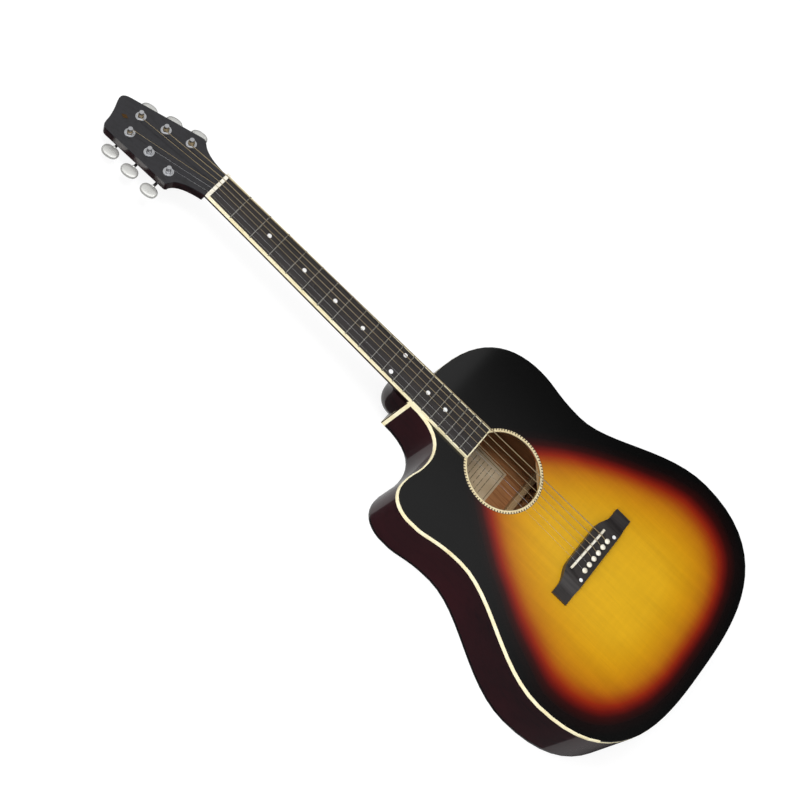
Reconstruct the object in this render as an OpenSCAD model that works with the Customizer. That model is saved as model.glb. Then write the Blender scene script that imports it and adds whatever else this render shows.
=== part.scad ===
// Left-handed acoustic guitar with one cutaway, lying on its flat back.
// +Y runs along the neck to the head, +X is the bass side, +Z points out of the soundboard.
// The origin is on the centre line, on the outside of the back, under the saddle line.

/* [Scale and strings] */
// Scale length from the nut to the saddle line
scale_length = 648; // [646:0.5:650]
// Number of frets
fret_count = 20; // [14:1:20]
// Distance between the outer strings at the nut
nut_spread = 35; // [34:0.5:36]
// Distance between the outer bridge pins
pin_spread = 54.4; // [53:0.2:56]

/* [Body outline] */
// Width across the lower bout
lower_bout_w = 411; // [400:1:420]
// Width across the waist
waist_w = 280; // [270:1:290]
// Width across the upper bout
upper_bout_w = 296; // [286:1:306]
// Distance from the saddle line to the tail
tail_length = 223; // [215:1:230]
// Distance from the saddle line to the neck end of the body
shoulder_length = 291; // [289:1:293]

/* [Body build] */
// Depth of the body at the saddle line
body_depth = 97; // [90:1:120]
// Angle between the soundboard and the back
back_taper = 1.8; // [1:0.1:2.4]
// Thickness of the soundboard
soundboard_t = 2.8; // [2.4:0.1:3.4]
// Thickness of the back
back_t = 2.8; // [2.4:0.1:3.4]
// Thickness of the sides
side_t = 2.6; // [2.4:0.1:3]
// Width of the edge binding, seen from the front
binding_w = 1.8; // [1.2:0.1:2]
// Height of the edge binding, seen from the side
binding_h = 6; // [4:0.5:7]
// Soundhole radius
soundhole_r = 52; // [48:0.5:53]
// Outer radius of the rosette
rosette_r = 57; // [55:0.5:60]

/* [Neck] */
// Fingerboard width at the nut
nut_w = 42.6; // [42:0.1:44]
// Fingerboard width at the last fret
board_end_w = 53; // [52:0.1:54]
// Fingerboard thickness at its centre
board_t = 5.8; // [5:0.1:6.5]
// Radius of the fingerboard's curved face
board_radius = 400; // [300:5:500]
// Neck depth below the fingerboard, at the nut
neck_depth_nut = 14.2; // [13:0.1:16]
// Neck depth below the fingerboard, at the heel
neck_depth_heel = 16.4; // [15:0.1:18]

/* [Head] */
// Backward angle of the head
head_angle = 15; // [13:0.5:16]
// Thickness of the head's wood
head_t = 12; // [11:0.5:14]
// Thickness of the face veneer
veneer_t = 1.5; // [1:0.1:2]

/* [Tuners] */
// Distance between the posts of one row
post_pitch = 36; // [35:0.5:37]
// Post diameter
post_d = 6; // [5.8:0.1:6.2]

/* [Hidden] */
$fn = 64;
arc_fn = 1440;
far = 600;
touch = 0.01;

// Body outline: half widths and the curve handles between the widest and narrowest places
lower_bout_y = -80;
waist_y = 109;
upper_bout_y = 187;
lower_x = lower_bout_w / 2;
waist_x = waist_w / 2;
treble_corner = 5.5;
treble_pinch = 1.6;
upper_x = upper_bout_w / 2;
horn_tip = [-115, 230];
cutaway_floor = [-70, 222.3];
cutaway_x = -25.4;
soundhole_y = 141.2;

// Heights in the soundboard frame, where z = 0 is the outside of the soundboard
lining_w = 5;
lining_h = 13;
brace_w = 8;
brace_h = 14;
low_brace_h = 9;
low_brace_w = 16;
x_brace_y = 62;
x_brace_angle = 41;
upper_brace_y = 210;
seam_strip_w = 14;
seam_strip_t = 2;
seam_gap = 0.1;
strip_w = 4.6;
dovetail_gap = 0.02;
bridge_t = 9;
bridge_wing_t = 4;
plate_t = 2.5;
fret_h = 1;
string_gap_nut = 0.4;
saddle_top = 12.3;
pin_y = -18.4;
pin_r = 2.5;
pin_hole_r = 2.6;
pin_head_z = bridge_t + 1.7;
groove_y = 1.75;
nut_t = 5;
nut_top = 8.3;
truss_z = -7.4;
truss_r = 3;
truss_nut_r = 4;
truss_passage_r = 4.5;
board_end_y = 188.6;
board_binding_w = 1.6;
dot_r = 3;
bridge_dot_r = 2.6;
dot_frets = [3, 5, 7, 9, 15, 17];
string_d = [0.3, 0.42, 0.62, 0.82, 1.08, 1.36];

// Heel: it reaches forward of the body end and narrows towards the back
heel_top_z = -11;
heel_drop = 78.5;
heel_reach = 31.9;
heel_flare = 11.1;
heel_half_w = 25.2;
heel_cap_t = 2.6;
heel_cap_gap = 0.6;

// Head frame: z = 0 is the face of the veneer, y runs up the head from the nut
head_y = scale_length + nut_t;
head_z = veneer_t * cos(head_angle);
post_hole_r = 4.2;
first_post_bass = [27, 61];
first_post_treble = [-26.5, 55];
post_step_in = 6;
worm_z = -19;
housing_top_z = -head_t - veneer_t;
housing_low_z = worm_z - 4;
cover_t = 1.2;
button_x = 27.3;
wheel_teeth = 14;
wheel_r = 4.2;
tooth_h = 0.5;
worm_offset = 6.5;
wheel_t = 2.4;
worm_r = 2.05;
thread_h = 0.5;
worm_len = 7;
worm_pitch = 2 * PI * wheel_r / wheel_teeth;
journal_r = 1.5;
collar_r = 2.65;
running_gap = 0.05;
screw_r = 1.2;
screw_y = -9.8;
housing_wall = 1.5;
button_tenon_r = 1.2;
button_lobe_r = 8.5;
button_lobe_y = 3.7;
button_t = 6.4;
button_start = 18.2;

// Curves
function bezier(p, t) =
    pow(1 - t, 3) * p[0] + 3 * pow(1 - t, 2) * t * p[1] + 3 * (1 - t) * t * t * p[2] + t * t * t * p[3];
function curve(p, n) = [for (i = [0:n - 1]) bezier(p, i / n)];
function mirrored(points) = [for (i = [len(points) - 1:-1:0]) [-points[i].x, points[i].y]];
function unit(v) = v / norm(v);
function left_of(v) = [-v.y, v.x];
function inset(points, d) = [
    for (i = [0:len(points) - 1])
        let (
            a = points[(i + len(points) - 1) % len(points)],
            b = points[i],
            c = points[(i + 1) % len(points)],
            n1 = left_of(unit(b - a)),
            n2 = left_of(unit(c - b))
        )
        b + d * (n1 + n2) / (1 + n1 * n2)
];

// One side of the body from the tail to the upper bout, then the two different shoulders. Corner makes the
// tail's corner fuller and pinch draws the waist in: the thin-string side has a little of both.
function lower_half(corner, pinch) =
    let (
        tail = [0, -tail_length],
        bout = [lower_x, lower_bout_y],
        waist = [waist_x - pinch, waist_y],
        upper = [upper_x, upper_bout_y]
    )
    concat(
        curve([tail, tail + [81 + corner, 0], bout - [0, 139 + corner], bout], 18),
        curve([bout, bout + [0, 71], waist - [0, 52 + 5 * pinch], waist], 12),
        curve([waist, waist + [0, 44], upper - [0, 28], upper], 7)
    );
bass_shoulder = curve([
    [upper_x, upper_bout_y],
    [upper_x, upper_bout_y + 56],
    [113, shoulder_length],
    [10, shoulder_length]
], 15);
cutaway = concat(
    [[cutaway_x, shoulder_length]],
    curve([[cutaway_x, shoulder_length - 4], [-23.6, 228], [-53, cutaway_floor.y], cutaway_floor], 11),
    curve([cutaway_floor, cutaway_floor - [20, 0], horn_tip + [20, 0], horn_tip], 5),
    curve([horn_tip, horn_tip - [22, 0], [-upper_x, upper_bout_y + 25], [-upper_x, upper_bout_y]], 9)
);
body_outline = concat(
    lower_half(0, 0),
    bass_shoulder,
    [[10, shoulder_length]],
    cutaway,
    [for (p = mirrored(lower_half(treble_corner, treble_pinch))) if (p.x < 0) p]
);

// Positions
function fret_y(n) = scale_length * pow(2, -n / 12);
function board_half_w(y) =
    nut_w / 2 + (board_end_w - nut_w) / 2 * (scale_length - y) / (scale_length - fret_y(20));
function crown_drop(x) = board_radius - sqrt(board_radius * board_radius - x * x);
function side_of(n) = n > 3 ? 1 : -1;
function rank_of(n) = n > 3 ? 6 - n : n - 1;
function nut_x(n) = nut_spread * ((n - 1) / 5 - 0.5);
function pin_x(n) = pin_spread * ((n - 1) / 5 - 0.5);
function saddle_y(x) = -4.5 - 0.05 * x;
function post_x(n) = n > 3 ? first_post_bass.x - post_step_in * rank_of(n)
    : first_post_treble.x + post_step_in * rank_of(n);
function post_y(n) = (n > 3 ? first_post_bass.y : first_post_treble.y) + post_pitch * rank_of(n);
function from_head(p) = [
    p.x,
    head_y + p.y * cos(head_angle) + p.z * sin(head_angle),
    head_z - p.y * sin(head_angle) + p.z * cos(head_angle)
];

// Solid through a row of rings that each have the same number of points. A ring turns
// anticlockwise when seen from the end of the row.
module loft(rings) {
    n = len(rings[0]);
    last = (len(rings) - 1) * n;
    polyhedron(
        points = [for (ring = rings) for (p = ring) p],
        faces = concat(
            [[for (k = [0:n - 1]) k]],
            [[for (k = [n - 1:-1:0]) last + k]],
            [for (i = [0:len(rings) - 2]) for (k = [0:n - 1])
                [i * n + k, (i + 1) * n + k, (i + 1) * n + (k + 1) % n]],
            [for (i = [0:len(rings) - 2]) for (k = [0:n - 1])
                [i * n + k, (i + 1) * n + (k + 1) % n, i * n + (k + 1) % n]]
        )
    );
}

// Frames
module top_frame() {
    translate([0, 0, body_depth * cos(back_taper)])
        rotate([-back_taper, 0, 0])
            children();
}

module head_frame() {
    top_frame()
        translate([0, head_y, head_z])
            rotate([-head_angle, 0, 0])
                children();
}

module slab(z0, z1) {
    translate([-far, -far, z0])
        cube([2 * far, 3 * far, z1 - z0]);
}

// Upright prism of the body outline, moved inwards by an inset
module outline_prism(inward, z0, z1) {
    translate([0, 0, z0])
        linear_extrude(height = z1 - z0)
            polygon(inset(body_outline, inward));
}

module outline_ring(outside, inside, z0, z1) {
    difference() {
        outline_prism(outside, z0, z1);
        outline_prism(inside, z0 - 1, z1 + 1);
    }
}

// Passage for the truss rod and its nut, along the neck from one y to another
module rod_passage(y0, y1) {
    translate([0, y0, truss_z])
        rotate([-90, 0, 0])
            cylinder(r = truss_passage_r, h = y1 - y0);
}

// Body
module soundboard() {
    color("goldenrod")
        top_frame()
            difference() {
                outline_prism(binding_w, -soundboard_t, 0);
                translate([0, soundhole_y, -5])
                    cylinder(r = soundhole_r, h = 10);
                translate([0, soundhole_y, -1.2])
                    cylinder(r = rosette_r, h = 2);
                pin_holes();
            }
}

module pin_holes() {
    for (n = [1:6])
        translate([pin_x(n), pin_y, -20])
            cylinder(r = pin_hole_r, h = 40);
}

module back() {
    color("saddlebrown")
        intersection() {
            top_frame()
                outline_prism(binding_w, -body_depth - 40, 0);
            slab(0, back_t);
        }
}

module side_ring() {
    difference() {
        top_frame()
            outline_ring(0, side_t, -body_depth - 40, -soundboard_t);
        slab(-50, back_t);
        top_frame()
            outline_ring(-1, binding_w, -binding_h, 1);
        intersection() {
            top_frame()
                outline_ring(-1, binding_w, -body_depth - 40, 0);
            slab(-50, binding_h);
        }
        top_frame() {
            strip_box();
            dovetail(dovetail_gap);
            rod_passage(shoulder_length - 20, shoulder_length + 20);
        }
    }
}

module side_bass() {
    color("maroon")
        difference() {
            side_ring();
            translate([-2 * far, -far, -50])
                cube([2 * far, 2 * far, 3 * far]);
        }
}

module side_treble() {
    color("maroon")
        difference() {
            side_ring();
            translate([0, -far, -50])
                cube([2 * far, 2 * far, 3 * far]);
        }
}

// Corner where the cutaway side ends at the heel
module strip_box() {
    translate([cutaway_x - 1, shoulder_length - strip_w, -body_depth - 30])
        cube([1 + binding_w, strip_w + 1, body_depth + 30 - binding_h]);
}

module cutaway_strip() {
    color("ivory")
        intersection() {
            top_frame()
                intersection() {
                    strip_box();
                    outline_prism(0, -body_depth - 40, 0);
                }
            slab(0, far);
        }
}

module top_binding() {
    color("ivory")
        top_frame()
            difference() {
                outline_ring(0, binding_w, -binding_h, 0);
                rod_passage(shoulder_length - 20, shoulder_length + 20);
            }
}

module back_binding() {
    color("black")
        difference() {
            intersection() {
                top_frame()
                    outline_ring(0, binding_w, -body_depth - 40, 0);
                slab(0, binding_h);
            }
            top_frame()
                strip_box();
        }
}

// Space between the back and the soundboard, inside the sides
module inner_space(inward) {
    intersection() {
        top_frame()
            outline_prism(inward, -body_depth - 40, -soundboard_t);
        slab(back_t, far);
    }
}

module neck_block_box() {
    top_frame()
        translate([-21, shoulder_length - 58, -body_depth - 20])
            cube([62, 60, body_depth + 20]);
}

module tail_block_box() {
    top_frame()
        translate([-40, -tail_length - 5, -body_depth - 20])
            cube([80, 25, body_depth + 20]);
}

module dovetail(grow) {
    translate([0, 0, -74 - grow])
        linear_extrude(height = 60 + 2 * grow)
            polygon([
                [-8 - grow, shoulder_length + 1],
                [-11 - grow, shoulder_length - 18 - grow],
                [11 + grow, shoulder_length - 18 - grow],
                [8 + grow, shoulder_length + 1]
            ]);
}

module neck_block() {
    color("peru")
        difference() {
            intersection() {
                inner_space(side_t);
                neck_block_box();
            }
            top_frame() {
                dovetail(dovetail_gap);
                rod_passage(shoulder_length - 70, shoulder_length + 20);
                translate([-truss_passage_r, shoulder_length - 70, truss_z])
                    cube([2 * truss_passage_r, 90, 10]);
            }
        }
}

module tail_block() {
    color("peru")
        intersection() {
            inner_space(side_t);
            tail_block_box();
        }
}

module lining_ring() {
    difference() {
        children();
        neck_block_box();
        tail_block_box();
    }
}

module top_lining() {
    color("burlywood")
        lining_ring()
            top_frame()
                outline_ring(side_t, side_t + lining_w, -soundboard_t - lining_h, -soundboard_t);
}

module back_lining() {
    color("burlywood")
        lining_ring()
            intersection() {
                top_frame()
                    outline_ring(side_t, side_t + lining_w, -body_depth - 40, 0);
                slab(back_t, back_t + lining_h);
            }
}

module rosette() {
    color("wheat")
        top_frame()
            difference() {
                translate([0, soundhole_y, -1.2])
                    cylinder(r = rosette_r, h = 1.2);
                translate([0, soundhole_y, -2])
                    cylinder(r = soundhole_r, h = 4);
            }
}

// One straight brace under the soundboard: centre, angle, length, height
module top_brace(at, angle, length, height) {
    translate([at.x, at.y, -soundboard_t - height])
        rotate([0, 0, angle])
            translate([-length / 2, -brace_w / 2, 0])
                cube([length, brace_w, height]);
}

module top_braces() {
    color("tan")
        difference() {
            intersection() {
                top_frame() {
                    for (side = [-1, 1])
                        top_brace([0, x_brace_y], side * x_brace_angle, 620, brace_h);
                    top_brace([0, upper_brace_y], 0, 300, brace_h);
                    for (tone_bar = [[28, -75, 130], [44, -128, 150]])
                        top_brace(tone_bar, 28, tone_bar.z, low_brace_h);
                    for (side = [-1, 1])
                        for (i = [0, 1])
                            top_brace([side * (118 + 22 * i), -8 - 45 * i], side * 24, 50, low_brace_h);
                }
                inner_space(side_t + lining_w + 1);
            }
            top_frame()
                rod_passage(upper_brace_y - 20, upper_brace_y + 20);
        }
}

module bridge_plate() {
    color("peru")
        top_frame()
            difference() {
                translate([-48, -34, -soundboard_t - plate_t])
                    cube([96, 40, plate_t]);
                pin_holes();
            }
}

module back_brace(y, width, height) {
    intersection() {
        inner_space(side_t + lining_w + 1);
        translate([-far, y - width / 2, back_t])
            cube([2 * far, width, height]);
    }
}

// Cross braces, with the strips that cover the centre seam between them
module back_braces() {
    color("tan") {
        for (y = [184, 87])
            back_brace(y, brace_w, brace_h);
        for (y = [-30, -130])
            back_brace(y, low_brace_w, low_brace_h);
        for (gap = [[-200, -138], [-122, -38], [-22, 83], [188, 229]])
            translate([-seam_strip_w / 2, gap[0] + seam_gap, back_t])
                cube([seam_strip_w, gap[1] - gap[0] - 2 * seam_gap, seam_strip_t]);
    }
}

module paper_label() {
    color("beige")
        translate([-46, 117, back_t])
            cube([100, 60, 0.3]);
}

// Bridge
bridge_front = concat(
    [[78, -4]],
    curve([[62, -4], [52, -3], [44, 5.5], [32, 5.5]], 6),
    [[32, 5.5], [-32, 5.5]],
    mirrored(curve([[62, -4], [52, -3], [44, 5.5], [32, 5.5]], 6)),
    [[-78, -4]]
);

module bridge() {
    color("black")
        top_frame()
            difference() {
                intersection() {
                    linear_extrude(height = bridge_t)
                        polygon(concat(bridge_front, [[-78, -28.3], [78, -28.3]]));
                    translate([0, 20, 0])
                        rotate([90, 0, 0])
                            linear_extrude(height = 60)
                                polygon(bridge_profile());
                }
                pin_holes();
                saddle_blade(0.03, bridge_t - 4.4, bridge_t + 1);
                bridge_dot_solids(3);
            }
}

function bridge_profile() = concat(
    [[-80, 0], [80, 0], [80, bridge_wing_t]],
    bridge_rise(),
    mirrored(bridge_rise()),
    [[-80, bridge_wing_t]]
);
function bridge_rise() = concat(
    curve([[64, bridge_wing_t], [56, bridge_wing_t], [54, bridge_t], [44, bridge_t]], 6),
    [[44, bridge_t]]
);

module saddle_blade(grow, z0, z1) {
    translate([0, saddle_y(0), z0])
        rotate([0, 0, -atan(0.05)])
            translate([-37.5 - grow, -1.5 - grow, 0])
                cube([75 + 2 * grow, 3 + 2 * grow, z1 - z0]);
}

module saddle() {
    color("ivory")
        top_frame()
            intersection() {
                saddle_blade(0, bridge_t - 4.4, saddle_top + 1);
                translate([0, 30, saddle_top - board_radius])
                    rotate([90, 0, 0])
                        cylinder(r = board_radius, h = 80, $fn = arc_fn);
            }
}

module bridge_pins() {
    color("ivory")
        top_frame()
            for (n = [1:6])
                translate([pin_x(n), pin_y, 0])
                    difference() {
                        union() {
                            translate([0, 0, -6.1])
                                cylinder(r = pin_r, h = pin_head_z + 6.1);
                            intersection() {
                                translate([0, 0, pin_head_z - 2.6])
                                    sphere(r = 5);
                                translate([-5, -5, pin_head_z])
                                    cube([10, 10, 10]);
                                cylinder(r = 3.6, h = 40);
                            }
                        }
                        translate([-0.85, 0.95, -10])
                            cube([1.7, 5, 10 + pin_head_z + 0.4]);
                    }
}

module bridge_dot_solids(above) {
    for (side = [-1, 1])
        translate([side * 40, -22.6, bridge_t - 1.5])
            cylinder(r = bridge_dot_r, h = 1.5 + above);
}

module board_dot_solids(above) {
    for (i = dot_frets)
        translate([0, (fret_y(i) + fret_y(i - 1)) / 2, board_t - 2])
            cylinder(r = dot_r, h = 2 + above);
    for (side = [-1, 1])
        translate([side * 16, (fret_y(12) + fret_y(11)) / 2, board_t - 2.6])
            cylinder(r = dot_r, h = 2.6 + above);
}

module pearl_dots() {
    color("white")
        top_frame() {
            bridge_dot_solids(0);
            intersection() {
                board_dot_solids(1);
                board_face();
            }
        }
}

// Everything under the curved face of the fingerboard, or under that face raised a little
module board_face(rise = 0) {
    translate([0, far + 150, board_t - board_radius + rise])
        rotate([90, 0, 0])
            cylinder(r = board_radius, h = far, $fn = arc_fn);
}

module board_blank(inward) {
    y_end = board_end_y + inward;
    linear_extrude(height = board_t + 1)
        polygon([
            [-board_half_w(y_end) + inward, y_end],
            [board_half_w(y_end) - inward, y_end],
            [board_half_w(scale_length) - inward, scale_length],
            [-board_half_w(scale_length) + inward, scale_length]
        ]);
}

module fingerboard() {
    color("dimgray")
        top_frame()
            difference() {
                intersection() {
                    board_blank(board_binding_w);
                    board_face();
                }
                board_dot_solids(3);
                for (i = [1:fret_count])
                    translate([-40, fret_y(i) - 0.3, board_t - 3])
                        cube([80, 0.6, 5]);
            }
}

module fingerboard_binding() {
    color("ivory")
        top_frame()
            intersection() {
                difference() {
                    board_blank(0);
                    translate([0, 0, -1])
                        binding_core();
                }
                board_face();
            }
}

module binding_core() {
    y_end = board_end_y + board_binding_w;
    linear_extrude(height = board_t + 4)
        polygon([
            [-board_half_w(y_end) + board_binding_w, y_end],
            [board_half_w(y_end) - board_binding_w, y_end],
            [board_half_w(scale_length + 5) - board_binding_w, scale_length + 5],
            [-board_half_w(scale_length + 5) + board_binding_w, scale_length + 5]
        ]);
}

module frets() {
    color("silver")
        top_frame()
            for (i = [1:fret_count]) {
                half = board_half_w(fret_y(i)) - board_binding_w;
                intersection() {
                    translate([-half, fret_y(i) - 0.28, board_t - 2.8])
                        cube([2 * half, 0.56, 5]);
                    board_face(fret_h / 2);
                }
                fret_crown(fret_y(i), half + board_binding_w - 0.4);
            }
}

// A fret's crown is a half round bar bent to the curve of the board
module fret_crown(y, half) {
    reach = asin(half / board_radius);
    translate([0, y, board_t - board_radius])
        rotate([90, 0, 0])
            rotate([0, 0, 90 - reach])
                rotate_extrude(angle = 2 * reach, $fn = arc_fn)
                    translate([board_radius, 0])
                        intersection() {
                            scale([1, 1.1])
                                circle(r = fret_h, $fn = 24);
                            translate([0, -2])
                                square([2, 4]);
                        }
}

module nut() {
    color("ivory")
        top_frame()
            difference() {
                translate([-nut_w / 2, scale_length, 0])
                    cube([nut_w, nut_t, nut_top]);
                for (n = [1:6]) {
                    slot_w = string_d[n - 1] + 0.2;
                    slot_floor = nut_string_z(n) - string_d[n - 1] / 2 - 0.06;
                    translate([nut_x(n) - slot_w / 2, scale_length - 1, slot_floor])
                        cube([slot_w, nut_t + 2, 5]);
                }
            }
}

function nut_string_z(n) =
    board_t - crown_drop(nut_x(n)) + fret_h + string_gap_nut + string_d[n - 1] / 2;
function saddle_string_z(n) =
    saddle_top - crown_drop(pin_x(n)) + string_d[n - 1] / 2 + 0.08;

// Neck
function d_section(half, depth) = [
    for (i = [0:24])
        let (t = 180 * i / 24)
        [half * cos(t), -depth * pow(sin(t), 0.85)]
];

module d_slice(y, half, depth) {
    translate([0, y, 0])
        rotate([90, 0, 0])
            linear_extrude(height = touch)
                polygon(d_section(half, depth));
}

module shaft_blank() {
    hull() {
        d_slice(shoulder_length + touch, board_half_w(shoulder_length), neck_depth_heel);
        d_slice(head_y, board_half_w(scale_length), neck_depth_nut);
    }
}

module heel_splice_box() {
    translate([-40, shoulder_length - 10, heel_top_z - 20])
        cube([80, 14 + heel_reach + heel_flare, 20]);
}

module neck_shaft() {
    color("maroon")
        top_frame()
            difference() {
                shaft_blank();
                heel_splice_box();
                translate([-truss_r - 0.05, shoulder_length - 1, truss_z - truss_r - 0.05])
                    cube([2 * truss_r + 0.1, 338, 20]);
            }
}

function heel_w(part) = heel_half_w * pow(1 - pow(part, 2.5), 0.53);
function heel_out(part) =
    heel_reach * pow(1 - pow(part, 4.4), 0.63) + heel_flare * pow(1 - part, 8);

module heel_loft() {
    rows = 18;
    cols = 18;
    lowest = 0.99;
    loft([
        for (j = [rows:-1:0])
            let (part = lowest * (1 - pow(1 - j / rows, 1.5)), z = heel_top_z - heel_drop * part)
            [
                for (i = [0:cols])
                    let (t = 180 * i / cols)
                    [heel_w(part) * cos(t), shoulder_length + heel_out(part) * pow(sin(t), 0.8), z]
            ]
    ]);
}

module neck_heel() {
    color("maroon") {
        intersection() {
            top_frame()
                heel_loft();
            slab(heel_cap_gap + heel_cap_t, far);
        }
        top_frame() {
            intersection() {
                shaft_blank();
                heel_splice_box();
            }
            difference() {
                dovetail(0);
                translate([-20, shoulder_length + touch, -100])
                    cube([40, 20, 120]);
            }
        }
    }
}

module heel_cap() {
    color("ivory")
        intersection() {
            top_frame()
                heel_loft();
            slab(heel_cap_gap, heel_cap_gap + heel_cap_t);
        }
}

// Head outline in the head frame, from the nut up the bass side and back down the treble side
head_outline = concat(
    [[21.3, -6]],
    curve([[21.4, 0], [26, 24], [30, 38], [42, 48.5]], 9),
    curve([[42, 48.5], [45, 51], [45.6, 53], [44.9, 58]], 4),
    [[44.9, 58]],
    curve([[29.3, 160], [27.8, 170], [24, 174], [14, 170]], 6),
    curve([[14, 170], [4, 166], [-6, 161.5], [-20, 160.5]], 6),
    curve([[-20, 160.5], [-28, 160], [-30, 156], [-30.4, 149]], 5),
    [[-30.4, 149]],
    curve([[-42.2, 51], [-43, 47], [-42.5, 45.6], [-39.5, 45]], 4),
    curve([[-39.5, 45], [-30, 41], [-24, 30], [-21.4, 0]], 9),
    [[-21.4, 0], [-21.3, -6]]
);

module head_plate(z0, z1) {
    translate([0, 0, z0])
        linear_extrude(height = z1 - z0)
            polygon(head_outline);
}

module post_holes() {
    for (n = [1:6])
        translate([post_x(n), post_y(n), -30])
            cylinder(r = post_hole_r, h = 60);
}

// Keeps what lies beyond the nut
module beyond_nut() {
    intersection() {
        children();
        top_frame()
            translate([-far, head_y, -far])
                cube([2 * far, far, 2 * far]);
    }
}

module headstock() {
    color("black")
        beyond_nut()
            difference() {
                union() {
                    head_frame()
                        head_plate(-veneer_t - head_t, -veneer_t);
                    hull() {
                        top_frame()
                            d_slice(head_y + 2 * touch, board_half_w(scale_length) - touch, neck_depth_nut);
                        head_frame()
                            translate([-24, 26, -veneer_t - head_t])
                                cube([48, 1, head_t - 1]);
                    }
                }
                head_frame() {
                    post_holes();
                    screw_holes();
                }
                head_frame()
                    translate([-50, -10, -veneer_t])
                        cube([100, 200, 20]);
            }
}

module headstock_veneer() {
    color("black")
        beyond_nut()
            head_frame()
                difference() {
                    head_plate(-veneer_t, 0);
                    post_holes();
                    inlay_solid(-0.8, 1);
                }
}

module inlay_solid(z0, z1) {
    translate([1.5, 148, z0])
        linear_extrude(height = z1 - z0)
            polygon([[0, -5.5], [3.2, 0], [0, 5.5], [-3.2, 0]]);
}

module headstock_inlay() {
    color("gold")
        head_frame()
            inlay_solid(-0.8, 0);
}

// Truss rod
module truss_rod() {
    color("gray")
        top_frame() {
            translate([-truss_r, shoulder_length + 5, truss_z - truss_r])
                cube([2 * truss_r, 330, 9]);
            translate([0, shoulder_length - 56, truss_z])
                rotate([-90, 0, 0])
                    cylinder(r = truss_r, h = 62);
        }
}

module truss_rod_nut() {
    color("black")
        top_frame()
            translate([0, shoulder_length - 68, truss_z])
                rotate([-90, 0, 0])
                    difference() {
                        cylinder(r = truss_nut_r, h = 18);
                        translate([0, 0, 11.9])
                            cylinder(r = truss_r + 0.08, h = 10);
                        translate([0, 0, -1])
                            cylinder(r = 2.5, h = 10, $fn = 6);
                    }
}

// Strings: a tube through the given points
function tube_axis(points, i) = unit(
    (i == 0 ? points[1] - points[0] : unit(points[i] - points[i - 1]))
    + (i == len(points) - 1 ? points[i] - points[i - 1] : unit(points[i + 1] - points[i])));
function tube_ring(points, i, r, sides) =
    let (
        axis = tube_axis(points, i),
        out = unit(cross(axis, [1, 0, 0])),
        over = cross(axis, out)
    )
    [for (k = [0:sides - 1]) points[i] + r * (out * cos(360 * k / sides) + over * sin(360 * k / sides))];

module tube(points, r, sides) {
    loft([for (i = [0:len(points) - 1]) tube_ring(points, i, r, sides)]);
}

function string_route(n) =
    let (
        r = string_d[n - 1] / 2,
        hole = [pin_x(n), pin_y + groove_y],
        crest = saddle_y(pin_x(n)),
        inner = post_x(n) - side_of(n) * (post_d / 2 + r + 0.15)
    )
    [
        [hole.x, hole.y, -7],
        [hole.x, hole.y, bridge_t + 0.1 + r],
        [hole.x, hole.y + 1.2, bridge_t + 0.45 + r],
        [pin_x(n), crest - 1.5, saddle_string_z(n) - 0.1],
        [pin_x(n), crest + 1.5, saddle_string_z(n)],
        [nut_x(n), scale_length, nut_string_z(n)],
        [nut_x(n), head_y + 0.3, nut_string_z(n)],
        from_head([inner, post_y(n), 5])
    ];

module string(n) {
    color(n < 3 ? "silver" : "peru")
        top_frame() {
            tube(string_route(n), string_d[n - 1] / 2, 8);
            translate([pin_x(n) - 1.8, pin_y + groove_y, -8.2])
                rotate([0, 90, 0])
                    cylinder(r = 1.9, h = 3.6);
        }
}

// Tuners: each is drawn for the bass side and mirrored for the treble side
module tuner_place(n) {
    head_frame()
        translate([post_x(n), post_y(n), 0])
            if (side_of(n) > 0) {
                children();
            } else {
                mirror([1, 0, 0])
                    children();
            }
}

module housing_block(z0, z1) {
    translate([-7.5, -7, z0])
        cube([15.5, 17.5, z1 - z0]);
}

module tuner_housings() {
    color("silver")
        for (n = [1:6])
            tuner_place(n)
                difference() {
                    union() {
                        housing_block(housing_low_z, housing_top_z);
                        translate([-4, screw_y - 3.2, housing_top_z - housing_wall])
                            cube([8, 8, housing_wall]);
                    }
                    translate([-5.5, -5.2, housing_low_z - 1])
                        cube([11, 14.7, housing_top_z - housing_wall - housing_low_z + 1]);
                    translate([0, 0, -30])
                        cylinder(r = post_d / 2 + running_gap, h = 30);
                    translate([0, worm_offset, worm_z])
                        rotate([0, 90, 0])
                            cylinder(r = collar_r + running_gap, h = 20);
                    translate([-20, worm_offset, worm_z])
                        rotate([0, 90, 0])
                            cylinder(r = journal_r + running_gap, h = 20);
                    translate([0, screw_y, -30])
                        cylinder(r = screw_r + 0.1, h = 30);
                }
}

module tuner_covers() {
    color("silver")
        for (n = [1:6])
            tuner_place(n)
                housing_block(housing_low_z - cover_t, housing_low_z);
}

module tuner_bushings() {
    color("silver")
        for (n = [1:6])
            tuner_place(n)
                difference() {
                    union() {
                        translate([0, 0, -8])
                            cylinder(r = post_hole_r, h = 8.5);
                        cylinder(r = 7, h = 1);
                        translate([0, 0, 1])
                            cylinder(r = 5.6, h = 1.6, $fn = 6);
                    }
                    translate([0, 0, -20])
                        cylinder(r = post_d / 2 + running_gap, h = 40);
                }
}

module screw_holes() {
    for (n = [1:6])
        translate([post_x(n), post_y(n) + screw_y, housing_top_z - 1])
            cylinder(r = screw_r, h = 8.5);
}

module tuner_screws() {
    color("silver")
        for (n = [1:6])
            tuner_place(n)
                translate([0, screw_y, housing_top_z - housing_wall])
                    difference() {
                        union() {
                            cylinder(r = screw_r, h = 9);
                            translate([0, 0, -1.6])
                                cylinder(r = 2 * screw_r, h = 1.6);
                        }
                        for (turn = [0, 90])
                            rotate([0, 0, turn])
                                translate([-1.5, -0.3, -1.7])
                                    cube([3, 0.6, 0.9]);
                    }
}

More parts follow.
